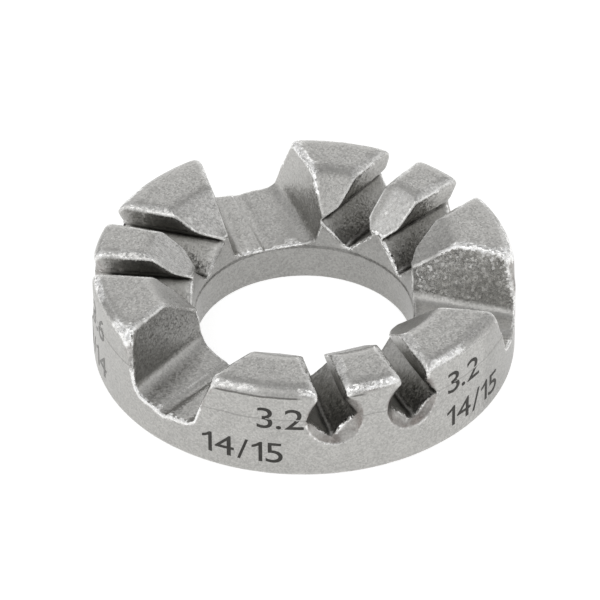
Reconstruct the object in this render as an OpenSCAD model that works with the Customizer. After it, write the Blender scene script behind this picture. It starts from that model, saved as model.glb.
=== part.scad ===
// Ring spoke wrench, one cast piece. Six keyhole slots for spoke nipples
// stand in three pairs, and each pair faces a valley on the far side of the
// ring that lets the spoke cross over. The ring lies on its flat face with
// its axis on Z, and the first pair of slots is centred on the -Y side.

/* [Ring] */
// outside diameter
outer_d = 40; // [39:0.25:42]
// overall height, from the flat face to the land on top of the jaws
ring_h = 10; // [9.8:0.1:11]
// rounding of the outer bottom edge
foot_round = 0.45; // [0.2:0.05:0.8]
// height of the faint parting line round the outer wall
parting_h = 6.6; // [5.8:0.1:7.4]
// how far the wall above the parting line stands back
parting_step = 0.06; // [0.04:0.01:0.15]

/* [Centre hole] */
// diameter of the centre hole
bore_d = 20.6; // [19.6:0.2:21.6]
// height of the plain wall of the centre hole
bore_wall_h = 3.5; // [3:0.1:3.7]
// how far the wall of the hole stands back above the plain part
bore_relief = 0.12; // [0.06:0.02:0.3]
// draft of the hole above the plain part, degrees
bore_draft = 2; // [1:0.5:5]
// chamfer of the hole at the flat face
bore_chamfer = 0.1; // [0.05:0.05:0.4]

/* [Jaws and posts] */
// drop from the land to where the rounded shoulder meets the outer wall
shoulder_drop = 0.85; // [0.6:0.05:1.2]
// radial width of the rounded shoulder
shoulder_run = 1.35; // [1:0.05:1.8]
// diameter at which the flat land turns into the inner slope
crest_d = 29.4; // [28:0.2:31]
// rounding of the crest between the land and the inner slope
crest_round = 2; // [0.8:0.1:2.4]
// drop of the inner slope from the land to the centre hole
rim_drop = 3.2; // [2.4:0.1:3.4]

/* [Slots] */
// across the flats of the front pair of slots
flats_front = 3.4; // [3.2:0.05:3.6]
// across the flats of the right-hand pair of slots
flats_right = 3.7; // [3.4:0.05:3.9]
// across the flats of the left-hand pair of slots
flats_left = 3.8; // [3.4:0.05:3.9]
// width of the mouths of the front pair, which let a spoke in
mouth_front = 2.35; // [2.1:0.05:2.6]
// width of the mouths of the right-hand pair
mouth_right = 3; // [2.3:0.05:3.1]
// width of the mouths of the left-hand pair
mouth_left = 2.45; // [2.1:0.05:2.8]
// depth of the middle of the square socket below the land
slot_depth = 3.5; // [3.4:0.05:3.8]
// width of the narrow flat at the bottom of the socket
root_w = 0.4; // [0.2:0.05:0.7]
// distance of each slot's centre line from the middle of its pair
slot_offset = 2.4; // [2.2:0.05:2.7]
// angle at which the two slots of a pair spread outwards, degrees each
slot_splay = 4.7; // [3:0.1:6]
// how far the front pair is turned from its even place, degrees
front_turn = 0.4; // [-1:0.1:1]
// diameter of the dished lead-in at the outer wall
lead_d = 5.9; // [5.5:0.1:6]
// radius of the ball that hollows the lead-in
dish_r = 3.5; // [3.2:0.1:4.5]
// width of the eased edge along the mouth of each slot
mouth_ease = 0.75; // [0.3:0.05:0.8]

/* [Valleys] */
// height of the floor at the foot of each flank
floor_h = 3.95; // [3.8:0.05:4.4]
// slope of each half of the floor towards the middle, degrees
floor_slope = 4; // [2:0.5:6]
// distance from the middle of the ring to the foot of the left flank of the
// valley on the left of the front pair
left_near = 5; // [4.6:0.1:5.3]
// and to the foot of its right flank
left_far = 5.1; // [4.6:0.1:5.3]
// to the foot of the left flank of the valley on the right of that pair
right_near = 4.3; // [4.1:0.1:5.2]
// and to the foot of its right flank
right_far = 4.65; // [4.1:0.05:5.2]
// to the foot of the right flank of the valley that faces that pair
rear_near = 5.1; // [4.6:0.1:5.3]
// and to the foot of its left flank
rear_far = 4.3; // [4.1:0.1:5.2]
// angle at which the flanks close in towards the outer wall, degrees each
flank_splay = 4.5; // [3:0.5:6.5]
// lean of the flanks from upright, degrees
flank_lean = 12.5; // [9:0.5:18]
// fillet between each flank and the floor
flank_fillet = 1.3; // [0.8:0.1:1.8]
// width of the eased edge along the top of each flank
flank_ease = 0.4; // [0.2:0.05:0.7]
// width of the shallow groove along the middle of the floor
groove_w = 1; // [0.6:0.1:1.4]
// depth of that groove below the line where the halves would meet
groove_depth = 0.12; // [0.06:0.02:0.24]
// and in the valley that faces the front pair, where it hardly shows
rear_groove_depth = 0.02; // [0.02:0.02:0.12]
// lean of the bevel between each flank and the outer wall, degrees
corner_lean = 20; // [16:1:24]
// heading of that bevel from the line of the flank, degrees
corner_turn = 52; // [44:2:60]
// height of the bevel's lower end above the foot of the flank
corner_rise = 0.5; // [0.3:0.1:1]

/* [Hidden] */
$fn = 128;
// how far every cut runs past the surface it opens
overrun = 1.5;
// number of pairs, and of valleys
pairs = 3;
pair_angle = 360 / pairs;
// heading of the first pair, and of the first valley beside it
first_pair = -90;
first_valley = first_pair + pair_angle / 2;
// steps in the long and in the short arcs of the outlines
arc_steps = 6;
round_steps = 3;
// angle between a flat of the socket and the level
socket_angle = 45;
// depth of the eased edges as a share of their width
ease_share = 0.65;
// length and width of the block that cuts the bevel at a jaw's corner
corner_reach = 4;
// heights that follow from a depth below the land
slot_h = ring_h - slot_depth;
rim_h = ring_h - rim_drop;
outer_r = outer_d / 2;
bore_r = bore_d / 2;
crest_r = crest_d / 2;
lead_r = lead_d / 2;
upper_r = outer_r - parting_step;
relief_r = bore_r + bore_relief;
sweep_len = outer_r + overrun;
flats = [flats_front, flats_right, flats_left];
mouths = [mouth_front, mouth_right, mouth_left];
feet = [[right_near, right_far], [rear_near, rear_far],
        [left_near, left_far]];
grooves = [groove_depth, rear_groove_depth, groove_depth];
turns = [front_turn, 0, 0];

// points of an arc, from one angle to another
function arc(cx, cy, r, from, to, steps) =
    [for (i = [0 : steps]) let (a = from + (to - from) * i / steps)
        [cx + r * cos(a), cy + r * sin(a)]];

// The shoulder is an arc that leaves the land level and meets the wall.
// Its radius follows from its width and its drop.
shoulder_r = (shoulder_run * shoulder_run + shoulder_drop * shoulder_drop)
    / (2 * shoulder_drop);
shoulder_x = upper_r - shoulder_run;
shoulder_end = acos(shoulder_run / shoulder_r);

// The inner slope and the rounding of its crest.
slope_angle = atan(rim_drop / (crest_r - relief_r));
crest_x = crest_r + crest_round * tan(slope_angle / 2);
rim_r = relief_r + (rim_h - bore_wall_h) * tan(bore_draft);
rim_y = rim_h + (rim_r - relief_r) * tan(slope_angle);

// half section of the ring, before the slots and the valleys are cut
ring_section = concat(
    [[bore_r + bore_chamfer, 0]],
    arc(outer_r - foot_round, foot_round, foot_round, -90, 0, round_steps),
    [[outer_r, parting_h], [upper_r, parting_h + parting_step]],
    arc(shoulder_x, ring_h - shoulder_r, shoulder_r, shoulder_end, 90,
        arc_steps),
    arc(crest_x, ring_h - crest_round, crest_round, 90, 90 + slope_angle,
        round_steps),
    [[rim_r, rim_y],
     [relief_r, bore_wall_h + bore_relief],
     [bore_r, bore_wall_h],
     [bore_r, bore_chamfer]]);

module ring_body() {
    rotate_extrude()
        polygon(ring_section);
}

// Draws its child outline across the X axis and sweeps it along X.
module sweep_out() {
    rotate([90, 0, 90])
        linear_extrude(height = sweep_len)
            children();
}

// One side of the keyhole outline, from the root up to above the land.
function keyhole_side(af, mouth) =
    let (half = af / (2 * cos(socket_angle)),
         neck = mouth / 2,
         root = root_w / 2)
    [[root, slot_h - half + root],
     [half, slot_h],
     [neck, slot_h + half - neck],
     [neck, ring_h - mouth_ease * ease_share],
     [neck + mouth_ease + overrun / ease_share, ring_h + overrun]];

// Mirrors a side outline and closes it.
function both_sides(side) =
    concat(side, [for (i = [len(side) - 1 : -1 : 0]) [-side[i][0], side[i][1]]]);

// Half outline of the dished lead-in, with its rim at zero height.
dish_y = sqrt(dish_r * dish_r - lead_r * lead_r);
dish_angle = acos(dish_y / dish_r);
dish_outline = concat(
    arc(0, dish_y, dish_r, -90, dish_angle - 90, arc_steps),
    [[lead_r + overrun * ease_share, overrun],
     [0, overrun]]);

// One keyhole slot with its lead-in, on the +X side.
module slot_cut(af, mouth) {
    wall_x = sqrt(outer_r * outer_r - pow(slot_offset * cos(slot_splay), 2));
    sweep_out()
        polygon(both_sides(keyhole_side(af, mouth)));
    translate([wall_x, 0, slot_h])
        rotate([0, 90, 0])
            rotate_extrude()
                polygon(dish_outline);
}

// The two slots of a pair, spread about the +X direction.
module slot_pair(af, mouth) {
    for (side = [-1, 1])
        translate([0, side * slot_offset, 0])
            rotate([0, 0, side * slot_splay])
                slot_cut(af, mouth);
}

// The open space on the valley's side of one flank, drawn from the foot of
// the flank. The flank leans outwards, a fillet joins it to the floor, and
// the floor falls away towards the middle of the valley.
foot_angle = (90 - flank_lean - floor_slope) / 2;
foot_run = flank_fillet * tan(foot_angle);
fillet_x = -foot_run * cos(floor_slope) - flank_fillet * sin(floor_slope);
fillet_y = floor_h - foot_run * sin(floor_slope)
    + flank_fillet * cos(floor_slope);
ease_y = ring_h - flank_ease * ease_share;
ease_x = (ease_y - floor_h) * tan(flank_lean);
flank_space = concat(
    [[-outer_r, floor_h - outer_r * tan(floor_slope)]],
    arc(fillet_x, fillet_y, flank_fillet, floor_slope - 90, -flank_lean,
        arc_steps),
    [[ease_x, ease_y],
     [ease_x + flank_ease + overrun / ease_share, ring_h + overrun],
     [-outer_r, ring_h + overrun]]);

// The space of the flank whose foot passes the middle at a given distance.
module flank_cut(foot) {
    rotate([0, 0, -flank_splay])
        translate([0, foot, 0])
            sweep_out()
                polygon(flank_space);
}

// The bevel between one flank and the outer wall. It starts just above the
// foot of the flank and grows wider upwards.
module corner_cut(foot) {
    rotate([0, 0, -flank_splay])
        translate([sqrt(outer_r * outer_r - foot * foot), foot,
                   floor_h + corner_rise])
            rotate([0, 0, corner_turn])
                rotate([-corner_lean, 0, 0])
                    translate([-corner_reach, -corner_reach, 0])
                        cube([corner_reach * 2, corner_reach, ring_h]);
}

// The shallow groove along the middle of the valley floor.
module groove_cut(foot, depth) {
    groove_y = floor_h - foot * tan(floor_slope) - depth;
    translate([0, -groove_w / 2, groove_y])
        cube([sweep_len, groove_w, ring_h]);
}

// The valley that a spoke crosses, on the +X side. Near is its flank on
// the -Y side and far the one on the +Y side.
module valley_cut(near, far, groove) {
    intersection() {
        flank_cut(far);
        mirror([0, 1, 0])
            flank_cut(near);
    }
    corner_cut(far);
    mirror([0, 1, 0])
        corner_cut(near);
    groove_cut((near + far) / 2, groove);
}

// wrench_ring: the whole casting
module wrench_ring() {
    color([0.66, 0.65, 0.62])
        difference() {
            ring_body();
            for (i = [0 : pairs - 1]) {
                rotate([0, 0, first_pair + i * pair_angle + turns[i]])
                    slot_pair(flats[i], mouths[i]);
                rotate([0, 0, first_valley + i * pair_angle])
                    valley_cut(feet[i][0], feet[i][1], grooves[i]);
            }
        }
}

// node to show, or all

wrench_ring();
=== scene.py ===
"""A ring spoke wrench in satin nickel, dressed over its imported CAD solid.

The casting is remeshed finely so that its edges turn over softly, as blasting
leaves them, and the size figures lie on its outer wall as thin dark marks.
All lengths of the pieces are in millimetres until their mesh is finished.
"""

import logging
import math
from dataclasses import dataclass, field
from enum import Enum

import bmesh
import bpy
import numpy as np
from mathutils import Matrix, Vector, noise
from mathutils.bvhtree import BVHTree
from mathutils.kdtree import KDTree


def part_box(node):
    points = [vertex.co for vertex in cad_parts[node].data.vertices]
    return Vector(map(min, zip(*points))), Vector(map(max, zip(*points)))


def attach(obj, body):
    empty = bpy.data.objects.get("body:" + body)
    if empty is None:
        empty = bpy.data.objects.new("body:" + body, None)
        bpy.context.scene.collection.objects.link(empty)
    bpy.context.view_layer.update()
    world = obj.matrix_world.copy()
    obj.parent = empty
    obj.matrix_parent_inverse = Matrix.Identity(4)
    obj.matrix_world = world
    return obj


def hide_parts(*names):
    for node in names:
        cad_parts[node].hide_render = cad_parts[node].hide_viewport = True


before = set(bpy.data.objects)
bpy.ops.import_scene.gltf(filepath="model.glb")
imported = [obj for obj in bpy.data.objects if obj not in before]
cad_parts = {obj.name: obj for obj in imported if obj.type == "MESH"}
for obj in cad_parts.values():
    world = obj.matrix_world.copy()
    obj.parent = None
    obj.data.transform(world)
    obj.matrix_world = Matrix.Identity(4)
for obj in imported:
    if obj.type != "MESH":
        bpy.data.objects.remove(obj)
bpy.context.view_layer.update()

LOG = logging.getLogger("spoke_wrench")
MM = 0.001

Colour = tuple[float, float, float]
Numbers = tuple[float, ...]


def to_metres(mesh: bpy.types.Mesh) -> None:
    """Scales a mesh from millimetres to metres.

    Args:
        mesh: the mesh to scale in place.
    """
    mesh.transform(Matrix.Scale(MM, 4))
    mesh.update()


def link_piece(data: bpy.types.ID, name: str) -> bpy.types.Object:
    """Puts a mesh, text, lamp or camera into the scene, at the origin.

    Args:
        data: what the object holds.
        name: the object's name.

    Returns:
        The new object.
    """
    piece = bpy.data.objects.new(name, data)
    bpy.context.scene.collection.objects.link(piece)
    return piece


def modify(piece: bpy.types.Object, kind: str, **settings: object) -> None:
    """Adds a modifier to an object.

    Args:
        piece: the object.
        kind: the modifier's type, such as SMOOTH.
        settings: properties of the modifier to set.
    """
    modifier = piece.modifiers.new(kind.lower(), kind)
    for key, value in settings.items():
        setattr(modifier, key, value)


def baked_mesh(source: bpy.types.Object, name: str) -> bpy.types.Mesh:
    """Applies an object's modifiers, or a text's outline, to a new mesh.

    Args:
        source: the object to evaluate. It is removed afterwards.
        name: the new mesh's name.

    Returns:
        The evaluated mesh.
    """
    view = bpy.context.evaluated_depsgraph_get()
    mesh = bpy.data.meshes.new_from_object(source.evaluated_get(view))
    mesh.name = name
    bpy.data.objects.remove(source, do_unlink=True)
    return mesh


def read_points(mesh: bpy.types.Mesh, kind: str = "co") -> np.ndarray:
    """Reads a mesh's points, or their normals, as rows of x, y and z."""
    flat = np.empty(len(mesh.vertices) * 3)
    mesh.vertices.foreach_get(kind, flat)
    return flat.reshape(-1, 3)


def read_edges(mesh: bpy.types.Mesh) -> np.ndarray:
    """Reads the two points of each of a mesh's edges."""
    flat = np.empty(len(mesh.edges) * 2, dtype=np.int64)
    mesh.edges.foreach_get("vertices", flat)
    return flat.reshape(-1, 2)


class NodeSheet:
    """A node tree with short calls for adding and joining nodes."""

    def __init__(self, tree: bpy.types.NodeTree) -> None:
        """Takes the tree to draw in."""
        self.tree = tree

    def feed(self, value: object, end: bpy.types.NodeSocket) -> None:
        """Links an output to an input, or sets the input to a value."""
        if isinstance(value, bpy.types.NodeSocket):
            self.tree.links.new(value, end)
        else:
            end.default_value = value

    def add(self, kind: str, inputs: dict[str | int, object] | None = None,
            **settings: object) -> bpy.types.Node:
        """Adds a node.

        Args:
            kind: the node's type, such as ShaderNodeMath.
            inputs: a socket or a value for each input that gets one.
            settings: properties of the node to set.

        Returns:
            The new node.
        """
        node = self.tree.nodes.new(kind)
        for key, value in settings.items():
            setattr(node, key, value)
        for key, value in (inputs or {}).items():
            self.feed(value, node.inputs[key])
        return node

    def effect(self, group: bpy.types.NodeTree,
               inputs: dict[str, object]) -> bpy.types.Node:
        """Places a shared node group with values of its own."""
        return self.add("ShaderNodeGroup", inputs, node_tree=group)

    def maths(self, operation: str, *values: object) -> bpy.types.NodeSocket:
        """Adds a Math node.

        Args:
            operation: the node's operation, such as MULTIPLY.
            values: a socket or a number for each of its inputs.

        Returns:
            The result's socket.
        """
        return self.add("ShaderNodeMath", dict(enumerate(values)),
                        operation=operation).outputs[0]

    def vector(self, operation: str, first: bpy.types.NodeSocket,
               second: object = None) -> bpy.types.NodeSocket:
        """Adds a Vector Math node.

        Args:
            operation: the node's operation, such as ADD.
            first: the first vector's socket.
            second: a vector, or the scale where the operation is SCALE.

        Returns:
            The result's socket.
        """
        node = self.add("ShaderNodeVectorMath", {0: first},
                        operation=operation)
        if second is not None:
            self.feed(second, node.inputs["Scale" if operation == "SCALE"
                                          else 1])
        return node.outputs["Value" if operation == "LENGTH" else "Vector"]

    def span(self, value: bpy.types.NodeSocket, low: float, high: float,
             to_low: float = 0.0, to_high: float = 1.0
             ) -> bpy.types.NodeSocket:
        """Maps a value from one range to another, clamped.

        Args:
            value: the value's socket.
            low: start of the first range.
            high: end of the first range.
            to_low: result at the start.
            to_high: result at the end.

        Returns:
            The result's socket.
        """
        return self.add("ShaderNodeMapRange", {
            "Value": value, "From Min": low, "From Max": high,
            "To Min": to_low, "To Max": to_high},
            clamp=True).outputs["Result"]


def new_group(name: str, inputs: dict[str, tuple[str, float]],
              outputs: dict[str, str]) -> tuple[NodeSheet, object, object]:
    """Starts a shader node group.

    Args:
        name: the group's name.
        inputs: each input's name, with its socket type and first value.
        outputs: each output's name, with its socket type.

    Returns:
        The sheet, the group's input node and its output node.
    """
    tree = bpy.data.node_groups.new(name, "ShaderNodeTree")
    for label, (kind, value) in inputs.items():
        socket = tree.interface.new_socket(label, in_out="INPUT",
                                           socket_type=kind)
        if value is not None:
            socket.default_value = value
    for label, kind in outputs.items():
        tree.interface.new_socket(label, in_out="OUTPUT", socket_type=kind)
    sheet = NodeSheet(tree)
    return sheet, sheet.add("NodeGroupInput"), sheet.add("NodeGroupOutput")


def blasted_grain_group() -> bpy.types.NodeTree:
    """Makes the group for the grain that bead blasting leaves.

    Returns:
        A group that takes a place in millimetres and puts out the grain as a
        value about one half, and the normal of a surface with that grain.
    """
    sheet, start, end = new_group(
        "blasted_grain",
        {"Place": ("NodeSocketVector", None),
         "Grains per mm": ("NodeSocketFloat", 6.0),
         "Tilt": ("NodeSocketFloat", 0.1),
         "Depth": ("NodeSocketFloat", 0.00001)},
        {"Value": "NodeSocketFloat", "Normal": "NodeSocketVector"})
    grid = {"Vector": start.outputs["Place"],
            "Scale": start.outputs["Grains per mm"]}
    cells = sheet.add("ShaderNodeTexVoronoi", grid, feature="F1")
    fine = sheet.add("ShaderNodeTexNoise", {**grid, "Detail": 3.0})

    # each grain leans its own way
    centred = sheet.vector("SUBTRACT", cells.outputs["Color"],
                           (0.5, 0.5, 0.5))
    leaning = sheet.vector("SCALE", centred, start.outputs["Tilt"])
    surface = sheet.add("ShaderNodeNewGeometry")
    tilted = sheet.vector("ADD", surface.outputs["Normal"], leaning)
    bump = sheet.add("ShaderNodeBump", {
        "Strength": 1.0, "Distance": start.outputs["Depth"],
        "Height": fine.outputs["Fac"],
        "Normal": sheet.vector("NORMALIZE", tilted)})
    sheet.feed(bump.outputs["Normal"], end.inputs["Normal"])

    split = sheet.add("ShaderNodeSeparateColor", {0: cells.outputs["Color"]})
    both = sheet.maths("ADD", split.outputs[0], fine.outputs["Fac"])
    sheet.feed(sheet.maths("MULTIPLY", both, 0.5), end.inputs["Value"])
    return sheet.tree


def mottle_group() -> bpy.types.NodeTree:
    """Makes the group for slow changes of tone over a surface.

    Returns:
        A group that takes a place in millimetres and puts out a value from
        zero to one that drifts over a few millimetres.
    """
    sheet, start, end = new_group(
        "slow_mottle",
        {"Place": ("NodeSocketVector", None),
         "Patches per mm": ("NodeSocketFloat", 0.4)},
        {"Value": "NodeSocketFloat"})
    drift = sheet.add("ShaderNodeTexNoise", {
        "Vector": start.outputs["Place"],
        "Scale": start.outputs["Patches per mm"], "Detail": 2.0,
        "Distortion": 0.4})
    sheet.feed(sheet.span(drift.outputs["Fac"], 0.3, 0.7),
               end.inputs["Value"])
    return sheet.tree


@dataclass(frozen=True)
class SurfaceMasks:
    """Names of the masks that the casting stores on its points."""

    edge: str = "edge"
    openness: str = "openness"
    burnish_light_shade: str = "burnish_light_shade"
    tarnish: str = "tarnish"


@dataclass(frozen=True)
class WallLine:
    """A fine dark line round a part of the outer wall, in mm and degrees: the
    parting line, or painted shade.
    """

    height: float
    half_width: float
    middle: float
    half_turn: float
    share: float
    wander: float = 0.06
    core: float = 0.4
    fade_turn: float = 2.0

    def mask(self, sheet: NodeSheet, place: bpy.types.NodeSocket,
             wobble: bpy.types.NodeSocket) -> bpy.types.NodeSocket:
        """Builds the mask of the line.

        Args:
            sheet: the tree of the finish.
            place: the place on the casting in millimetres.
            wobble: a noise that lets the line wander a little.

        Returns:
            The line's share at each place.
        """
        axes = sheet.add("ShaderNodeSeparateXYZ", {0: place}).outputs
        level = sheet.maths(
            "ADD", axes["Z"],
            sheet.span(wobble, 0.0, 1.0, -self.wander, self.wander))
        away = sheet.maths("ABSOLUTE", sheet.maths(
            "SUBTRACT", level, self.height))
        heading = sheet.maths("MULTIPLY", sheet.maths(
            "ARCTAN2", axes["Y"], axes["X"]), 180 / math.pi)
        aside = sheet.maths("ABSOLUTE", sheet.maths(
            "SUBTRACT", heading, self.middle))
        return sheet.maths(
            "MULTIPLY",
            sheet.span(away, self.core * self.half_width, self.half_width,
                       self.share, 0.0),
            sheet.span(aside, self.half_turn - self.fade_turn,
                       self.half_turn, 1.0, 0.0))


@dataclass(frozen=True)
class SatinNickel:
    """Nickel plate over blasted steel, partly burnished, with painted
    highlights on its edges, shoulders and slopes and painted shade in its
    hollows, creases and dim stretches.

    A field that ends in _span holds the range of a mask that comes in, and
    then the range that goes out where that isn't zero to one.
    """

    plate: Colour = (0.495, 0.489, 0.472)
    # lighter colour for a painted highlight along the outer edges, partly
    # rubbing wear
    rubbed_highlight: Colour = (0.86, 0.855, 0.84)
    # lightest colour, for a painted highlight on shoulders, rims and slopes,
    # partly burnish
    polished_highlight: Colour = (0.97, 0.965, 0.95)
    # painted shade, darker where a place sees little past the casting
    hollow_shade: Colour = (0.26, 0.254, 0.237)
    # painted shade in the roots of the sockets, and the colour of the dark
    # wall lines: the parting line and painted shade under two front shoulders
    crease_shade_and_seam: Colour = (0.085, 0.082, 0.076)
    # painted shade, used where the burnish mask falls below zero
    dull_shade: Colour = (0.34, 0.336, 0.324)
    tarnish: Colour = (0.24, 0.212, 0.197)
    roughness: float = 0.33
    rubbed_roughness: float = 0.19
    burnished_roughness: float = 0.18
    grain_roughness: float = 0.05
    grains_per_mm: float = 6.5
    grain_tilt: float = 0.18
    grain_range: tuple[float, float] = (0.2, 0.8)
    grain_contrast: float = 0.19
    mottle_contrast: float = 0.03
    pebbles_per_mm: float = 3.9
    pebble_tilt: float = 0.48
    bump_depth_mm: float = 0.006
    mottle_per_mm: float = 0.35
    stain_per_mm: float = 0.62
    drift_span: Numbers = (0.3, 0.6, 0.35, 1.0)
    stain_span: Numbers = (0.3, 0.55, 0.4, 1.0)
    rubbed_span: Numbers = (0.6, 0.72)
    speck_span: Numbers = (0.32, 0.6, 0.8, 1.7)
    closed_span: Numbers = (0.62, 0.2)
    root_span: Numbers = (0.46, 0.3, 0.0, 0.85)
    root_closed_span: Numbers = (0.6, 0.45)
    tarnish_span: Numbers = (0.2, 0.8, 0.25, 1.0)
    pebbled_span: Numbers = (0.0, 0.6)
    coarse_closed_span: Numbers = (0.97, 0.7, 0.04, 0.14)
    wall_span: Numbers = (19.75, 19.85)
    # the parting line, then painted shade under two front shoulders
    lines: tuple[WallLine, ...] = (
        WallLine(6.6, 0.09, 0.0, 400.0, 0.28),
        WallLine(9.07, 0.14, -122.5, 13.5, 0.8),
        WallLine(9.0, 0.14, -95.5, 4.0, 0.7))
    masks: SurfaceMasks = SurfaceMasks()

    def make(self, groups: dict[str, bpy.types.NodeTree]
             ) -> bpy.types.Material:
        """Builds the material.

        Args:
            groups: the shared node groups by name.

        Returns:
            The material.
        """
        material, sheet, shader = blank_material("satin_nickel")
        place = place_in_mm(sheet)
        grain, pebble = (
            sheet.effect(groups["grain"], {
                "Place": place, "Grains per mm": per_mm, "Tilt": tilt,
                "Depth": self.bump_depth_mm * MM}).outputs
            for per_mm, tilt in ((self.grains_per_mm, self.grain_tilt),
                                 (self.pebbles_per_mm, self.pebble_tilt)))
        mottle, stain = (
            sheet.effect(groups["mottle"], {
                "Place": place, "Patches per mm": per_mm}).outputs["Value"]
            for per_mm in (self.mottle_per_mm, self.stain_per_mm))
        edge, openness, burnish_light_shade, tarnish = (
            sheet.add("ShaderNodeAttribute",
                      attribute_name=name).outputs["Fac"]
            for name in (self.masks.edge, self.masks.openness,
                         self.masks.burnish_light_shade, self.masks.tarnish))

        patchy = sheet.maths("MULTIPLY", sheet.span(mottle, *self.drift_span),
                             sheet.span(stain, *self.stain_span))
        # painted highlight along the outer edges, partly rubbing wear
        edge_wear_and_highlight = sheet.maths("MULTIPLY", patchy,
                           sheet.span(edge, *self.rubbed_span))
        # painted highlight on burnished shoulders, rims, eased edges and
        # slopes
        polish_highlight = sheet.span(sheet.maths(
            "MULTIPLY", burnish_light_shade,
            sheet.span(pebble["Value"], *self.speck_span)), 0.0, 1.0)
        # painted shade along the inner corners at the roots of the sockets
        root_shade = sheet.maths("MULTIPLY", sheet.span(edge, *self.root_span),
                             sheet.span(openness, *self.root_closed_span))
        stained = sheet.maths("MULTIPLY", tarnish,
                              sheet.span(stain, *self.tarnish_span))
        base: object = self.plate
        for share, colour in (
                # painted shade where the burnish mask is below zero
                (sheet.maths("MULTIPLY", burnish_light_shade, -1.0), self.dull_shade),
                (stained, self.tarnish),
                # painted shade in closed places
                (sheet.span(openness, *self.closed_span), self.hollow_shade),
                # painted shade in the roots of the sockets
                (root_shade, self.crease_shade_and_seam),
                # the parting line and painted shade under the shoulders
                (self.shade_and_seam_lines(sheet, place, mottle), self.crease_shade_and_seam),
                # painted highlight along the outer edges, partly rubbing wear
                (edge_wear_and_highlight, self.rubbed_highlight),
                # painted highlight, partly burnish
                (polish_highlight, self.polished_highlight)):
            base = blend_colours(sheet, share, base, colour)
        tone = sheet.maths(
            "ADD",
            sheet.span(grain["Value"], *self.grain_range,
                       1.0 - self.grain_contrast, 1.0 + self.grain_contrast),
            sheet.span(mottle, 0.0, 1.0, -self.mottle_contrast,
                       self.mottle_contrast))
        sheet.feed(sheet.vector("SCALE", base, tone),
                   shader.inputs["Base Color"])

        polish = [sheet.span(share, 0.0, 1.0, 0.0, level - self.roughness)
                  for share, level in ((edge_wear_and_highlight, self.rubbed_roughness),
                                       (polish_highlight, self.burnished_roughness))]
        rough = sheet.maths(
            "ADD",
            sheet.maths("MAXIMUM", sheet.maths("ADD", *polish),
                        self.burnished_roughness - self.roughness),
            sheet.span(grain["Value"], *self.grain_range,
                       self.roughness - self.grain_roughness,
                       self.roughness + self.grain_roughness))
        sheet.feed(rough, shader.inputs["Roughness"])
        sheet.feed(1.0, shader.inputs["Metallic"])

        coarse = sheet.maths("MAXIMUM",
                             sheet.span(burnish_light_shade, *self.pebbled_span),
                             sheet.span(openness, *self.coarse_closed_span))
        mixed = sheet.add("ShaderNodeMix", {
            "Factor": coarse, 4: grain["Normal"], 5: pebble["Normal"]},
            data_type="VECTOR")
        sheet.feed(sheet.vector("NORMALIZE", mixed.outputs[1]),
                   shader.inputs["Normal"])
        return material

    def shade_and_seam_lines(self, sheet: NodeSheet, place: bpy.types.NodeSocket,
              wobble: bpy.types.NodeSocket) -> bpy.types.NodeSocket:
        """Joins the masks of the dark lines on the outer wall: the parting
        line and painted shade under two front shoulders.
        """
        level = sheet.vector("MULTIPLY", place, (1.0, 1.0, 0.0))
        radius = sheet.vector("LENGTH", level)
        joined: object = 0.0
        for line in self.lines:
            joined = sheet.maths(
                "MAXIMUM", line.mask(sheet, place, wobble), joined)
        return sheet.maths("MULTIPLY", joined,
                           sheet.span(radius, *self.wall_span))


@dataclass(frozen=True)
class LaserMark:
    """The dark oxide that a marking laser leaves on the plate."""

    name: str = "laser_mark"
    oxide: Colour = (0.040, 0.038, 0.034)
    thin_oxide: Colour = (0.085, 0.082, 0.075)
    roughness: float = 0.55
    grain_roughness: float = 0.1
    grains_per_mm: float = 6.5
    grain_tilt: float = 0.15
    bump_depth_mm: float = 0.004
    patches_per_mm: float = 1.2
    metal_share: float = 0.3

    def make(self, groups: dict[str, bpy.types.NodeTree]
             ) -> bpy.types.Material:
        """Builds the material.

        Args:
            groups: the shared node groups by name.

        Returns:
            The material.
        """
        material, sheet, shader = blank_material(self.name)
        place = place_in_mm(sheet)
        grain = sheet.effect(groups["grain"], {
            "Place": place, "Grains per mm": self.grains_per_mm,
            "Tilt": self.grain_tilt,
            "Depth": self.bump_depth_mm * MM}).outputs
        mottle = sheet.effect(groups["mottle"], {
            "Place": place, "Patches per mm": self.patches_per_mm}).outputs
        patchy = sheet.maths("MULTIPLY", grain["Value"], mottle["Value"])
        sheet.feed(blend_colours(sheet, patchy, self.oxide, self.thin_oxide),
                   shader.inputs["Base Color"])
        sheet.feed(sheet.span(grain["Value"], 0.0, 1.0,
                              self.roughness - self.grain_roughness,
                              self.roughness + self.grain_roughness),
                   shader.inputs["Roughness"])
        sheet.feed(self.metal_share, shader.inputs["Metallic"])
        sheet.feed(grain["Normal"], shader.inputs["Normal"])
        return material


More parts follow.
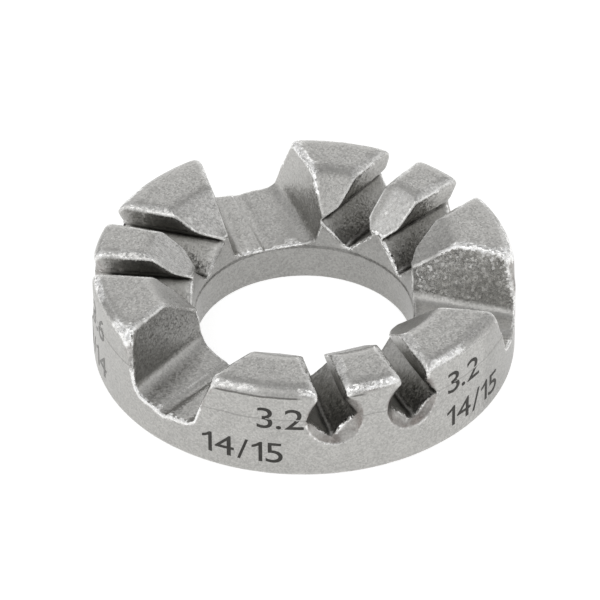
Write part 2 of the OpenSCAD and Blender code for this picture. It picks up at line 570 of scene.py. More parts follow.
@dataclass(frozen=True)
class PaleFloor:
    """A matt white sweep that keeps a soft shadow under the ring."""

    paint: Colour = (0.62, 0.62, 0.617)
    seen_lift: float = 0.74
    mirrored_lift: float = 0.62

    def make(self) -> bpy.types.Material:
        """Builds the material.

        Returns:
            The material. The camera and reflections see it a little brighter
            than the lamps alone would make it.
        """
        material, sheet, shader = blank_material("pale_floor")
        sheet.tree.nodes.remove(shader)
        matt = sheet.add("ShaderNodeBsdfDiffuse", {
            "Color": (*self.paint, 1.0), "Roughness": 1.0})
        seen = sheet.add("ShaderNodeLightPath").outputs
        lift = sheet.maths(
            "ADD",
            sheet.maths("MULTIPLY", seen["Is Camera Ray"], self.seen_lift),
            sheet.maths("MULTIPLY", seen["Is Glossy Ray"],
                        self.mirrored_lift))
        glow = sheet.add("ShaderNodeEmission", {
            "Color": (1.0, 1.0, 1.0, 1.0), "Strength": lift})
        total = sheet.add("ShaderNodeAddShader", {
            0: matt.outputs[0], 1: glow.outputs[0]})
        out = next(n for n in sheet.tree.nodes
                   if n.type == "OUTPUT_MATERIAL")
        sheet.feed(total.outputs[0], out.inputs["Surface"])
        return material


def blank_material(name: str
                   ) -> tuple[bpy.types.Material, NodeSheet, object]:
    """Starts a node material.

    Args:
        name: the material's name.

    Returns:
        The material, its sheet and its Principled shader.
    """
    material = bpy.data.materials.new(name)
    material.use_nodes = True
    sheet = NodeSheet(material.node_tree)
    return material, sheet, material.node_tree.nodes["Principled BSDF"]


def place_in_mm(sheet: NodeSheet) -> bpy.types.NodeSocket:
    """Adds Object coordinates turned into millimetres.

    Args:
        sheet: the material's sheet.

    Returns:
        The vector's socket.
    """
    where = sheet.add("ShaderNodeTexCoord")
    scaled = sheet.add("ShaderNodeMapping", {
        "Vector": where.outputs["Object"], "Scale": (1 / MM,) * 3})
    return scaled.outputs["Vector"]


def blend_colours(sheet: NodeSheet, share: bpy.types.NodeSocket,
                  first: object, second: object) -> bpy.types.NodeSocket:
    """Mixes two colours.

    Args:
        sheet: the material's sheet.
        share: socket of the second colour's share.
        first: a colour or the socket of one.
        second: a colour or the socket of one.

    Returns:
        The mixed colour's socket.
    """
    first, second = (
        value if isinstance(value, bpy.types.NodeSocket) else (*value, 1.0)
        for value in (first, second))
    return sheet.add("ShaderNodeMix", {
        "Factor": share, 6: first, 7: second}, data_type="RGBA").outputs[2]


def neighbour_mean(values: np.ndarray, ends: np.ndarray,
                   count: int) -> np.ndarray:
    """Averages values of the edges at their points.

    Args:
        values: one value for each edge.
        ends: the two points of each edge.
        count: the number of points.

    Returns:
        The mean at each point.
    """
    total = np.bincount(ends[:, 0], values, count)
    total += np.bincount(ends[:, 1], values, count)
    tally = np.bincount(ends.ravel(), minlength=count)
    return total / np.maximum(tally, 1)


def spread(values: np.ndarray, ends: np.ndarray, passes: int) -> np.ndarray:
    """Evens out values between neighbouring points.

    Args:
        values: one value for each point.
        ends: the two points of each edge.
        passes: how often to average.

    Returns:
        The evened values.
    """
    for _ in range(passes):
        middle = values[ends].mean(1)
        values = neighbour_mean(middle, ends, len(values))
    return values


def place_tree(places: np.ndarray) -> KDTree:
    """Makes a tree that finds places by nearness."""
    tree = KDTree(len(places))
    for index, place in enumerate(places.tolist()):
        tree.insert(place, index)
    tree.balance()
    return tree


def blurred(places: np.ndarray, values: np.ndarray,
            reach: float) -> np.ndarray:
    """Averages values over all places within reach.

    Args:
        places: where the values are known.
        values: one value for each place.
        reach: how far to look.

    Returns:
        The evened value at each place.
    """
    tree = place_tree(places)
    return np.array([values[[found[1] for found in
                             tree.find_range(place, reach)]].mean()
                     for place in places.tolist()])


def nearest_values(places: np.ndarray, values: np.ndarray,
                   wanted: np.ndarray) -> np.ndarray:
    """Looks values up at the nearest of many places.

    Args:
        places: where the values are known.
        values: one value for each place.
        wanted: where the values are wanted.

    Returns:
        The value at the place nearest to each wanted one.
    """
    tree = place_tree(places)
    return values[[tree.find(place)[1] for place in wanted.tolist()]]


def between(values: np.ndarray, low: float, high: float) -> np.ndarray:
    """Tells which values lie between two limits."""
    return (values > low) & (values < high)


def ramp(values: np.ndarray, middle: float, width: float) -> np.ndarray:
    """Rises smoothly from zero to one about a value."""
    share = np.clip((values - middle) / width + 0.5, 0.0, 1.0)
    return share * share * (3.0 - 2.0 * share)


def stretch(heading: np.ndarray, start: float, end: float) -> np.ndarray:
    """Gives one between two headings, with soft ends, and zero elsewhere."""
    half = (end - start) / 2
    away = np.abs((heading - start - half + 180.0) % 360.0 - 180.0)
    return 1.0 - ramp(away, half, 2.0)


class Surface:
    """A mesh's points as the masks need them, in millimetres and degrees."""

    def __init__(self, mesh: bpy.types.Mesh) -> None:
        """Reads the mesh."""
        self.mesh = mesh
        self.points = read_points(mesh)
        self.normals = read_points(mesh, "normal")
        self.ends = read_edges(mesh)
        x, y, self.z = self.points.T
        self.radius = np.hypot(x, y)
        self.heading = np.degrees(np.arctan2(y, x))
        self.facing = np.degrees(np.arctan2(*self.normals.T[1::-1]))
        self.lean = np.degrees(np.arcsin(np.clip(self.normals[:, 2],
                                                 -1.0, 1.0)))
        self.outward = ((self.normals[:, :2] * self.points[:, :2]).sum(1)
                        / self.radius)
        # the turn from the middle of the nearest pair of sockets
        self.beside = np.abs((self.heading + 30.0) % 120.0 - 60.0)


@dataclass
class Casting:
    """The one-piece ring, with the soft edges that blasting leaves.

    Headings are in degrees, and so is the lean of a surface from upright.
    Outward is one where a surface faces straight away from the axis.
    """

    voxel: float = 0.1
    smooth_factor: float = 0.5
    smooth_passes: int = 30
    corner_passes: int = 90
    corner_r: float = 17.2
    corner_z: float = 7.05
    lip_r: Numbers = (17.9, 19.3)
    lip_top: float = 7.2
    lip_turn: float = 16.0
    crisp_share: float = 0.12
    parting_band: Numbers = (6.25, 7.0)
    parting_margin: float = 0.2
    parting_r: float = 19.8
    bore_top: float = 4.3
    bore_edge_r: float = 10.8
    first_triangles: int = 84_000
    longest_edge: float = 0.52
    shortest_edge: float = 0.03
    inset: float = 0.016
    swell: float = 0.006
    swell_length: float = 2.6

    edge_curvature: float = 2.1
    outer_edge_passes: int = 3
    inner_edge_passes: int = 10
    upright_share: float = 0.62
    upright_rise: float = 0.3
    parting_share: float = 0.4
    step_top: float = 3.58
    look_rays: int = 24
    look_seed: int = 7
    look_spread: float = 0.98
    look_start: float = 0.03
    look_length: float = 9.0
    look_blur: float = 0.55

    shoulder_z: float = 9.05
    shoulder_r: float = 14.4
    shoulder_lean: Numbers = (32.0, 68.0)
    lean_fade: float = 8.0
    eased_outward: Numbers = (-0.2, 0.45)
    # painted highlight on the eased edges of the sockets' mouths
    eased_highlight: float = 0.34
    # headings where the shoulders take a painted highlight, partly burnish
    highlight_stretches: tuple[Numbers, ...] = (
        (-137.0, -121.5), (-109.5, -82.5), (-77.0, -60.5), (8.0, 20.0),
        (36.0, 58.0), (124.0, 140.0), (158.0, 178.0), (188.0, 196.0))
    # headings where the shoulders lose their painted highlight and go into
    # painted shade below zero: from and to heading, and loss
    shade_stretches: tuple[Numbers, ...] = (
        (-138.0, -121.0, 0.6), (-120.5, -111.0, 1.0))
    # painted highlights on rims: from and to heading, radius and height
    highlight_rims: tuple[Numbers, ...] = (
        (-165.0, -135.0, 19.2, 20.1, 2.5, 6.3),
        (72.0, 108.0, 9.8, 11.2, 3.2, 5.5),
        (-24.0, -1.0, 13.0, 20.1, 8.8, 10.1),
        (60.0, 84.0, 12.5, 19.5, 5.5, 10.1),
        (-172.0, -163.0, 18.6, 20.1, 8.4, 10.1),
        (10.0, 50.0, 9.8, 13.0, 3.2, 7.0))
    rim_fade: Numbers = (0.6, 0.1)
    rim_floor: float = 0.02
    slope_z: float = 6.9
    slope_r: float = 15.0
    slope_lean: Numbers = (41.0, 65.0)
    # painted glints on the inner slopes: from and to heading, and share
    glint_slopes: tuple[Numbers, ...] = (
        (16.0, 34.0, 0.3), (108.0, 128.0, 0.24), (138.0, 160.0, 0.28))
    flank_z: Numbers = (4.2, 9.7)
    flank_r: float = 19.7
    flank_lean: Numbers = (3.0, 21.0)
    flank_turn: float = 40.0
    # painted light on the flanks, or painted shade where the share is below
    # zero: from and to heading, the way that the flank faces, and share
    flank_light_and_shade: tuple[Numbers, ...] = (
        (-22.0, 2.0, -130.0, 0.38), (-182.0, -160.0, -60.0, -1.0))
    # painted shade on a stretch of the outer wall: from and to heading, and
    # share
    wall_shade: Numbers = (-52.0, -28.0, -0.45)
    wall_outward: float = 0.97
    # painted shade on the wall of the centre hole
    bore_shade: float = -0.7

    tarnished_outward: Numbers = (0.3, 0.93)
    tarnished_r: float = 17.0
    dish_r: float = 19.9
    dish_top: float = 9.3
    dish_tarnish: float = 0.85
    bevel_z: Numbers = (4.3, 9.2)
    bevel_rise: float = 0.6
    bevel_tarnish: float = 0.75
    masks: SurfaceMasks = SurfaceMasks()

    def build(self, cad: bpy.types.Object) -> bpy.types.Object:
        """Makes the dressed casting from the CAD node's form.

        Args:
            cad: the CAD node, which isn't changed.

        Returns:
            The casting as an object at the origin.
        """
        rough = link_piece(self.closed_copy(cad), "casting_rough")
        modify(rough, "REMESH", mode="VOXEL", voxel_size=self.voxel)
        mesh = baked_mesh(rough, "casting_fine")
        triangles = len(mesh.polygons) * 2
        dense = link_piece(mesh, "casting_dense")
        for passes, weights in (
                (self.smooth_passes, self.softness(dense)),
                (self.corner_passes, self.roundness(dense))):
            modify(dense, "SMOOTH", factor=self.smooth_factor,
                   iterations=passes, vertex_group=weights)
        smooth = baked_mesh(dense, "casting_smooth")
        skin = Surface(smooth)
        worn_at, edge_wear_and_highlight = skin.points, self.edge_mask(skin)
        lean = link_piece(smooth, "casting_lean")
        modify(lean, "DECIMATE", ratio=min(1.0, self.first_triangles
                                           / triangles))
        mesh = baked_mesh(lean, "wrench_casting")
        self.even_out(mesh)
        edge = nearest_values(worn_at, edge_wear_and_highlight, read_points(mesh))
        self.keep_inside(mesh, cad)
        skin = Surface(mesh)
        # painted highlights on the socket lips and the listed rims
        rim_highlights = self.edge_highlights(skin) * ramp(edge, *self.rim_fade)
        # painted highlights, and painted shade where the mask is below zero
        burnish_light_shade = self.burnish_light_shade_mask(skin)
        for name, values in (
                (self.masks.edge, edge),
                (self.masks.openness, self.openness_mask(skin)),
                (self.masks.burnish_light_shade,
                 np.where(rim_highlights > self.rim_floor,
                          np.maximum(burnish_light_shade, rim_highlights), burnish_light_shade)),
                (self.masks.tarnish, self.tarnish_mask(skin))):
            store = mesh.attributes.new(name, "FLOAT", "POINT")
            store.data.foreach_set("value", values.astype(np.float32))
        mesh.shade_smooth()
        to_metres(mesh)
        LOG.info("casting: %d triangles from %d", len(mesh.polygons),
                 triangles)
        return link_piece(mesh, "wrench_casting")

    def closed_copy(self, cad: bpy.types.Object) -> bpy.types.Mesh:
        """Copies the CAD node's mesh as one closed skin in millimetres.

        Args:
            cad: the CAD node.

        Returns:
            The copy.
        """
        skin = bmesh.new()
        skin.from_mesh(cad.data)
        bmesh.ops.remove_doubles(skin, verts=skin.verts, dist=MM * MM)
        bmesh.ops.scale(skin, vec=Vector((1 / MM, 1 / MM, 1 / MM)),
                        verts=skin.verts)
        mesh = bpy.data.meshes.new("casting_skin")
        skin.to_mesh(mesh)
        skin.free()
        return mesh

    def softness(self, dense: bpy.types.Object) -> str:
        """Weighs how far each point of the skin may be smoothed.

        The parting line and the step in the centre hole stay crisp.

        Args:
            dense: the fine skin, in millimetres.

        Returns:
            The name of the vertex group that holds the weights.
        """
        skin = Surface(dense.data)
        crisp = ((skin.radius > self.parting_r)
                 & between(skin.z, *self.parting_band)
                 | (skin.radius < self.bore_edge_r)
                 & (skin.z < self.bore_top))
        group = dense.vertex_groups.new(name="softness")
        group.add(np.flatnonzero(~crisp).tolist(), 1.0, "REPLACE")
        group.add(np.flatnonzero(crisp).tolist(), self.crisp_share, "REPLACE")
        return group.name

    def roundness(self, dense: bpy.types.Object) -> str:
        """Picks the outer corners and the socket lips, which are rounder.

        Args:
            dense: the fine skin, in millimetres.

        Returns:
            The name of the vertex group that holds them.
        """
        skin = Surface(dense.data)
        corners = (skin.radius > self.corner_r) & (skin.z > self.corner_z)
        group = dense.vertex_groups.new(name="roundness")
        group.add(np.flatnonzero(corners | self.lips(skin)).tolist(), 1.0,
                  "REPLACE")
        return group.name

    def lips(self, skin: Surface) -> np.ndarray:
        """Tells which points lie at the lower lips of the sockets."""
        return (between(skin.radius, *self.lip_r) & (skin.z < self.lip_top)
                & (skin.beside < self.lip_turn))

    def edge_highlights(self, skin: Surface) -> np.ndarray:
        """Picks the places where the edges take a painted highlight.

        Args:
            skin: the casting's points.

        Returns:
            A share from zero to one for each point.
        """
        mask = self.lips(skin).astype(float)
        for start, end, near, far, low, high in self.highlight_rims:
            inside = (between(skin.radius, near, far)
                      & between(skin.z, low, high))
            mask = np.maximum(mask,
                              inside * stretch(skin.heading, start, end))
        return mask

    def even_out(self, mesh: bpy.types.Mesh) -> None:
        """Merges folds and splits long edges, where the masks need points.

        Args:
            mesh: the casting's mesh in millimetres.
        """
        skin = bmesh.new()
        skin.from_mesh(mesh)
        bmesh.ops.dissolve_degenerate(skin, edges=skin.edges,
                                      dist=self.shortest_edge)
        bmesh.ops.triangulate(skin, faces=skin.faces)
        for _ in range(3):
            bmesh.ops.subdivide_edges(skin, cuts=1, edges=[
                edge for edge in skin.edges
                if edge.calc_length() > self.longest_edge])
            bmesh.ops.triangulate(skin, faces=skin.faces,
                                  quad_method="SHORT_EDGE")
        skin.to_mesh(mesh)
        skin.free()

    def keep_inside(self, mesh: bpy.types.Mesh,
                    cad: bpy.types.Object) -> None:
        """Gives the skin a slight swell and keeps it in the CAD node's box.

        Args:
            mesh: the casting's mesh in millimetres.
            cad: the CAD node.
        """
        low, high = (np.array(corner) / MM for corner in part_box(cad.name))
        points, normals = read_points(mesh), read_points(mesh, "normal")
        waves = np.array([noise.noise(Vector(p / self.swell_length))
                          for p in points])
        points += normals * (waves * self.swell - self.inset)[:, None]
        points = np.clip(points, low, high)
        mesh.vertices.foreach_set("co", points.ravel())
        mesh.update()

    def edge_mask(self, skin: Surface) -> np.ndarray:
        """Measures how far each point stands on an outer or inner edge.

        Args:
            skin: the points of the fine skin.

        Returns:
            One half on flat faces, towards one on outer edges and towards
            zero in inner corners. The parting line counts in part, and
            the plain wall of the centre hole counts as flat.
        """
        first, second = skin.ends.T
        along = skin.points[second] - skin.points[first]
        length = np.maximum((along ** 2).sum(1), 1e-8)
        bend = ((skin.normals[second] - skin.normals[first])
                * along).sum(1) / length
        curve = neighbour_mean(bend, skin.ends, len(skin.points))
        curve = (spread(np.maximum(curve, 0.0), skin.ends,
                        self.outer_edge_passes)
                 + spread(np.minimum(curve, 0.0), skin.ends,
                          self.inner_edge_passes))
        low, high = self.parting_band
        curve[(skin.radius > self.parting_r) & between(
            skin.z, low - self.parting_margin,
            high + self.parting_margin)] *= self.parting_share
        curve *= (self.upright_share + (1.0 - self.upright_share)
                  * ramp(skin.normals[:, 2], self.upright_rise,
                         self.upright_rise))
        curve[(skin.radius < self.bore_edge_r)
              & (skin.z < self.step_top)] = 0.0
        return np.clip(0.5 + 0.5 * curve / self.edge_curvature, 0.0, 1.0)

    def openness_mask(self, skin: Surface) -> np.ndarray:
        """Measures how freely each point looks out past the casting.

        Args:
            skin: the casting's points.

        Returns:
            The share of looks that meet nothing, from zero to one.
        """
        tree = BVHTree.FromPolygons(
            skin.points.tolist(),
            [tuple(face.vertices) for face in skin.mesh.polygons])
        looks = np.random.default_rng(self.look_seed).normal(
            size=(self.look_rays, 3))
        looks /= np.linalg.norm(looks, axis=1)[:, None]
        starts = (skin.points + skin.normals * self.look_start).tolist()
        free = np.zeros(len(starts))
        for look in looks:
            way = skin.normals + self.look_spread * look
            way /= np.linalg.norm(way, axis=1)[:, None]
            free += [tree.ray_cast(*ray, self.look_length)[0] is None
                     for ray in zip(starts, way.tolist())]
        return blurred(skin.points, free / self.look_rays, self.look_blur)

    def burnish_light_shade_mask(self, skin: Surface) -> np.ndarray:
        """Weighs where the casting takes a painted highlight, partly burnish,
        or painted shade.

        Args:
            skin: the casting's points.

        Returns:
            One for a painted highlight on the shoulders, partly burnish, and a
            part of one on eased edges and on slopes that glint. It is below
            zero where painted shade lies.
        """
        # painted highlight only on the part of a shoulder that leans within
        # this window, where the light catches it
        low, high = self.shoulder_lean
        leaning = ramp(skin.lean, low, self.lean_fade) * (
            1.0 - ramp(skin.lean, high, self.lean_fade))
        inner, outer = self.eased_outward
        top = ((skin.z > self.shoulder_z) & (skin.radius > self.shoulder_r)
               & (skin.outward > inner))
        share = np.zeros(len(skin.points))
        for start, end in self.highlight_stretches:
            share = np.maximum(share, stretch(skin.heading, start, end))
        for start, end, loss in self.shade_stretches:
            share -= loss * stretch(skin.heading, start, end)
        share = np.where(skin.outward > outer, share, self.eased_highlight)
        mask = np.where(top, leaning * share, 0.0)
        slope = ((skin.z > self.slope_z) & (skin.radius < self.slope_r)
                 & between(skin.lean, *self.slope_lean))
        # painted glints on the inner slopes
        for start, end, share in self.glint_slopes:
            mask = np.maximum(
                mask, share * slope * stretch(skin.heading, start, end))
        flank = (between(skin.z, *self.flank_z)
                 & between(skin.lean, *self.flank_lean)
                 & (skin.radius < self.flank_r))
        # painted light on one flank and painted shade on another
        for start, end, way, share in self.flank_light_and_shade:
            mask += (share * flank * stretch(skin.heading, start, end)
                     * stretch(skin.facing, way - self.flank_turn,
                               way + self.flank_turn))
        # painted shade on a stretch of the outer wall
        start, end, share = self.wall_shade
        mask = np.where(skin.outward > self.wall_outward,
                        share * stretch(skin.heading, start, end), mask)
        # painted shade on the wall of the centre hole
        mask = np.where(skin.radius < self.bore_edge_r, self.bore_shade,
                        mask)
        return spread(mask, skin.ends, 1)

    def tarnish_mask(self, skin: Surface) -> np.ndarray:
        """Weighs where the plate has gone brown.

        Args:
            skin: the casting's points.

        Returns:
            A share from zero to one, high in the lead-ins and on the bevels
            at the jaws' corners.
        """
        aside = (between(skin.outward, *self.tarnished_outward)
                 & (skin.radius > self.tarnished_r))
        near = skin.beside < self.lip_turn
        dish = (aside & near & (skin.radius < self.dish_r)
                & (skin.z < self.dish_top))
        bevel = (aside & ~near & between(skin.z, *self.bevel_z)
                 & (np.abs(skin.normals[:, 2]) < self.bevel_rise))
        mask = self.dish_tarnish * dish + self.bevel_tarnish * bevel
        return spread(mask, skin.ends, 2)

    def dress(self, piece: bpy.types.Object,
              finish: bpy.types.Material) -> None:
        """Gives the casting its finish and its place in the frame."""
        piece.data.materials.clear()
        piece.data.materials.append(finish)
        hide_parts("wrench_ring")
        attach(piece, "root")


class Pair(Enum):
    """The three pairs of sockets, by the heading of their middle."""

    FRONT = -90.0
    RIGHT = 30.0
    LEFT = 150.0


class Block(Enum):
    """The outer blocks of a pair, by the side on which their marks end."""

    BEFORE = "before"
    AFTER = "after"


@dataclass
class SizeMark:
    """Two lines of figures on the outer wall beside one pair of sockets."""

    pair: Pair
    block: Block
    size: str
    gauge: str
    lower_z: Numbers = (1.57, 3.9)
    upper_z: Numbers = (5.55, 7.87)
    size_width: float = 4.35
    gauge_width: float = 7.8
    upper_turns: Numbers = (-31.3, 22.8)
    lower_turns: Numbers = (-46.8, 22.6)
    figure_gap: float = 0.075
    slice_width: float = 0.4
    sink: float = 0.03
    proud: float = 0.012
    wall_r: float = 19.985
    upper_wall_r: float = 19.925
    parting_z: float = 6.6
    one_outline: tuple[Numbers, ...] = (
        (0.158, 0.0), (0.246, 0.0), (0.246, 0.682), (0.188, 0.682),
        (0.1, 0.595), (0.0, 0.535), (0.0, 0.452), (0.08, 0.49),
        (0.158, 0.543))

    def build(self) -> bpy.types.Object:
        """Makes both lines as one thin closed piece wrapped on the wall.

        Returns:
            The mark as an object at the origin.
        """
        side = 0 if self.block is Block.BEFORE else 1
        upper = self.pair.value + self.upper_turns[side]
        lower = self.pair.value + self.lower_turns[side]
        name = f"size_mark_{self.pair.name}_{self.block.name}".lower()
        lines = bmesh.new()
        self.add_line(lines, self.size, upper, self.upper_z, self.size_width)
        self.add_line(lines, self.gauge, lower, self.lower_z,
                      self.gauge_width)
        mesh = bpy.data.meshes.new(name)
        lines.to_mesh(mesh)
        lines.free()
        to_metres(mesh)
        return link_piece(mesh, name)

    def degrees(self, length: float) -> float:
        """Turns a length along the wall into degrees."""
        return math.degrees(length / self.wall_r)

    def wall_at(self, z: float) -> float:
        """Gives the wall's radius at a height."""
        return self.wall_r if z < self.parting_z else self.upper_wall_r

    def add_line(self, lines: bmesh.types.BMesh, words: str, start: float,
                 heights: tuple[float, float], width: float) -> None:
        """Adds one line of figures, wrapped on the wall.

        Args:
            lines: the mesh that takes the line.
            words: the figures.
            start: heading of the line's left end, in degrees.
            heights: lowest and highest point of the figures.
            width: length of the line along the wall.
        """
        figures = bmesh.new()
        edge = 0.0
        for letter in words:
            edge = self.add_figure(figures, letter, edge) + self.figure_gap
        bmesh.ops.remove_doubles(figures, verts=figures.verts, dist=1e-5)
        points = np.array([point.co for point in figures.verts])
        low, high = points.min(0), points.max(0)
        span = high - low
        rise = heights[1] - heights[0]
        for point in figures.verts:
            share = [(point.co[i] - low[i]) / span[i] for i in range(3)]
            point.co = (share[0] * width, heights[0] + share[1] * rise,
                        share[2])
        cuts = int(width / self.slice_width)
        for index in range(1, cuts):
            bmesh.ops.bisect_plane(
                figures,
                geom=figures.verts[:] + figures.edges[:] + figures.faces[:],
                plane_co=(index * width / cuts, 0, 0), plane_no=(1, 0, 0))
        for point in figures.verts:
            along, z, depth = point.co
            turn = math.radians(start + self.degrees(along))
            reach = self.wall_at(z) - self.sink
            reach += depth * (self.sink + self.proud)
            point.co = (reach * math.cos(turn), reach * math.sin(turn), z)
        bmesh.ops.recalc_face_normals(figures, faces=figures.faces)
        wrapped = bpy.data.meshes.new("figures_wrapped")
        figures.to_mesh(wrapped)
        figures.free()
        lines.from_mesh(wrapped)
        bpy.data.meshes.remove(wrapped)

    def add_figure(self, figures: bmesh.types.BMesh, letter: str,
                   edge: float) -> float:
        """Adds one flat figure with a thickness of one.

        Args:
            figures: the mesh that takes the figure.
            letter: the figure. A one is drawn with a flag.
            edge: the left end of the figure.

        Returns:
            The right end of the figure.
        """
        if letter == "1":
            shape = bmesh.new()
            face = shape.faces.new([shape.verts.new((x, y, 0.0))
                                    for x, y in self.one_outline])
            solid = bmesh.ops.extrude_face_region(shape, geom=[face])
            bmesh.ops.translate(
                shape, vec=(0.0, 0.0, 1.0),
                verts=[part for part in solid["geom"]
                       if isinstance(part, bmesh.types.BMVert)])
            sheet = bpy.data.meshes.new("figure")
            shape.to_mesh(sheet)
            shape.free()
        else:
            curve = bpy.data.curves.new("figure", "FONT")
            curve.body = letter
            curve.resolution_u = 6
            curve.extrude = 0.5
            sheet = baked_mesh(link_piece(curve, "figures_text"), "figure")
        points = read_points(sheet)
        left, right = points[:, 0].min(), points[:, 0].max()
        sheet.transform(Matrix.Translation(
            (edge - left, 0.0, -points[:, 2].min())))
        figures.from_mesh(sheet)
        bpy.data.meshes.remove(sheet)
        return edge + right - left

    def dress(self, piece: bpy.types.Object,
              finish: bpy.types.Material) -> None:
        """Gives the mark its finish and its place in the frame."""
        piece.data.materials.append(finish)
        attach(piece, "root")


@dataclass
class Softbox:
    """One large soft lamp, aimed at a point."""

    name: str
    place: tuple[float, float, float]
    aim: tuple[float, float, float]
    size: tuple[float, float]
    power: float

    def build(self) -> bpy.types.Object:
        """Adds the lamp.

        Returns:
            The lamp's object.
        """
        lamp = bpy.data.lights.new(self.name, "AREA")
        lamp.shape = "RECTANGLE"
        lamp.size, lamp.size_y = (side * MM for side in self.size)
        lamp.energy = self.power
        item = link_piece(lamp, self.name)
        place = Vector(self.place) * MM
        item.location = place
        facing = place - Vector(self.aim) * MM
        item.rotation_euler = facing.to_track_quat("Z", "Y").to_euler()
        return item


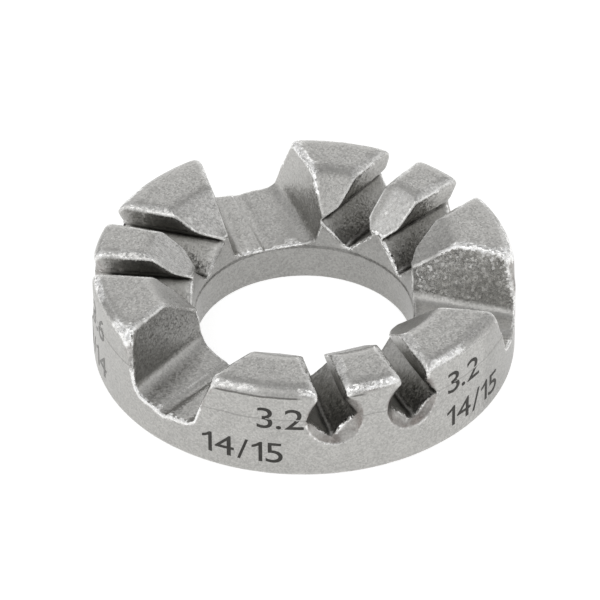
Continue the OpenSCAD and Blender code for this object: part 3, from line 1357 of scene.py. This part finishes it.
@dataclass
class Studio:
    """The camera, the white sweep, the lamps and the surroundings."""

    elevation: float = 37.741
    heading: float = -18.6
    roll: float = -0.367
    origin_in_view: tuple[float, float, float] = (0.384, -4.038, -475.195)
    lens: float = 300.0
    sweep: float = 900.0
    ring_elevations: tuple[float, ...] = (0.0, 22.0, 44.0, 66.0)
    ring_levels: tuple[tuple[float, ...], ...] = (
        (0.80, 0.91, 0.78, 1.00, 0.64, 0.70, 0.89, 0.49),
        (1.00, 1.07, 0.63, 0.98, 1.08, 0.68, 1.47, 0.53),
        (1.00, 1.27, 0.85, 0.91, 0.76, 0.57, 0.76, 0.72),
        (0.64, 0.42, 0.30, 0.42, 0.50, 0.66, 0.55, 0.80))
    zenith_elevation: float = 88.0
    zenith_level: float = 0.40
    room_level: float = 0.87
    softboxes: list[Softbox] = field(default_factory=lambda: [
        Softbox("left_softbox", (-120.0, -74.0, 265.0), (0.0, 0.0, 8.0),
                (130.0, 130.0), 0.042),
        Softbox("right_softbox", (51.0, -131.0, 265.0), (0.0, 0.0, 8.0),
                (130.0, 130.0), 0.042)])

    def build_camera(self) -> None:
        """Adds the camera at the view that was fitted to the photograph."""
        data = bpy.data.cameras.new("photo_camera")
        data.lens = self.lens
        data.sensor_width = 36.0
        data.clip_start = 10 * MM
        data.clip_end = 20.0
        camera = link_piece(data, "photo_camera")
        turn = (Matrix.Rotation(math.radians(self.heading), 4, "Z")
                @ Matrix.Rotation(math.radians(90 - self.elevation), 4, "X")
                @ Matrix.Rotation(math.radians(self.roll), 4, "Z"))
        place = turn @ (Vector(self.origin_in_view) * -MM)
        camera.matrix_world = Matrix.Translation(place) @ turn
        bpy.context.scene.camera = camera

    def build_sweep(self, finish: bpy.types.Material) -> bpy.types.Object:
        """Adds the white floor under the ring.

        Args:
            finish: the floor's material.

        Returns:
            The floor's object.
        """
        flat = bmesh.new()
        bmesh.ops.create_circle(flat, cap_ends=True, segments=96,
                                radius=self.sweep * MM)
        mesh = bpy.data.meshes.new("sweep")
        flat.to_mesh(mesh)
        flat.free()
        mesh.transform(Matrix.Translation((0.0, 0.0, -0.02 * MM)))
        mesh.materials.append(finish)
        floor = link_piece(mesh, "sweep")
        return floor

    def build_surroundings(self) -> None:
        """Sets the world to a soft room, level by level round the ring.

        Each band of the room has its own level at eight headings, and the
        levels run smoothly into each other.
        """
        world = bpy.data.worlds.new("soft_room")
        bpy.context.scene.world = world
        world.use_nodes = True
        sheet = NodeSheet(world.node_tree)
        room = world.node_tree.nodes["Background"]
        sheet.feed((1.0, 1.0, 1.0, 1.0), room.inputs["Color"])
        where = sheet.add("ShaderNodeTexCoord")
        turned = sheet.add("ShaderNodeMapping", {
            "Vector": where.outputs["Generated"],
            "Rotation": (0.0, 0.0, math.radians(-self.heading))})
        parts = sheet.add("ShaderNodeSeparateXYZ",
                          {0: turned.outputs["Vector"]}).outputs
        heading = sheet.span(sheet.maths("ARCTAN2", parts["Y"], parts["X"]),
                             -math.pi, math.pi)
        height = sheet.maths("ARCSINE", parts["Z"])
        level, *bands = [self.band(sheet, heading, levels)
                         for levels in self.ring_levels]
        edges = [math.radians(edge) for edge in
                 (*self.ring_elevations, self.zenith_elevation)]
        for band, low, high in zip((*bands, self.zenith_level), edges,
                                   edges[1:]):
            level = sheet.add("ShaderNodeMix", {
                "Factor": sheet.span(height, low, high), "A": level,
                "B": band}, data_type="FLOAT").outputs["Result"]
        seen = sheet.add("ShaderNodeLightPath").outputs["Is Camera Ray"]
        sheet.feed(sheet.maths("MAXIMUM", sheet.maths(
            "MULTIPLY", level, self.room_level), seen),
            room.inputs["Strength"])

    def band(self, sheet: NodeSheet, heading: bpy.types.NodeSocket,
             levels: tuple[float, ...]) -> bpy.types.NodeSocket:
        """Adds one band of the room.

        Args:
            sheet: the world's sheet.
            heading: socket of the heading, from zero to one round the ring.
            levels: the light at eight even headings.

        Returns:
            The socket of the band's light.
        """
        node = sheet.add("ShaderNodeValToRGB", {"Fac": heading})
        node.color_ramp.interpolation = "EASE"
        strip = node.color_ramp.elements
        stops = (*levels, levels[0])
        while len(strip) < len(stops):
            strip.new(0.5)
        for index in range(len(stops)):
            strip[index].position = index / (len(stops) - 1)
        for stop, level in zip(strip, stops):
            stop.color = (level, level, level, 1.0)
        return node.outputs["Color"]


def main() -> None:
    """Builds the wrench's pieces and the studio, in order."""
    logging.basicConfig(level=logging.INFO, format="%(name)s: %(message)s")
    bpy.context.scene.view_settings.view_transform = "Standard"
    groups = {"grain": blasted_grain_group(), "mottle": mottle_group()}
    nickel = SatinNickel().make(groups)
    oxide = LaserMark().make(groups)
    thin = LaserMark("thin_laser_mark", (0.29, 0.286, 0.276),
                     (0.36, 0.355, 0.343)).make(groups)

    studio = Studio()
    studio.build_camera()
    studio.build_surroundings()
    studio.build_sweep(PaleFloor().make())
    for softbox in studio.softboxes:
        softbox.build()
    LOG.info("studio: camera, sweep and %d lamps", len(studio.softboxes))

    casting = Casting()
    body = casting.build(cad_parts["wrench_ring"])
    casting.dress(body, nickel)

    figures = {Pair.FRONT: ("3.2", "14/15"), Pair.RIGHT: ("3.5", "12/13"),
               Pair.LEFT: ("3.6", "13/14")}
    for pair, (size, gauge) in figures.items():
        for block in Block:
            mark = SizeMark(pair, block, size, gauge)
            if pair is Pair.LEFT:
                # the marks after the left pair start nearer to it
                mark.upper_turns = (-31.3, 20.0)
                mark.lower_turns = (-46.8, 11.0)
            piece = mark.build()
            mark.dress(piece, thin if pair is Pair.LEFT else oxide)
            LOG.info("mark: %s, %d faces", piece.name,
                     len(piece.data.polygons))


if __name__ == "__main__":
    main()
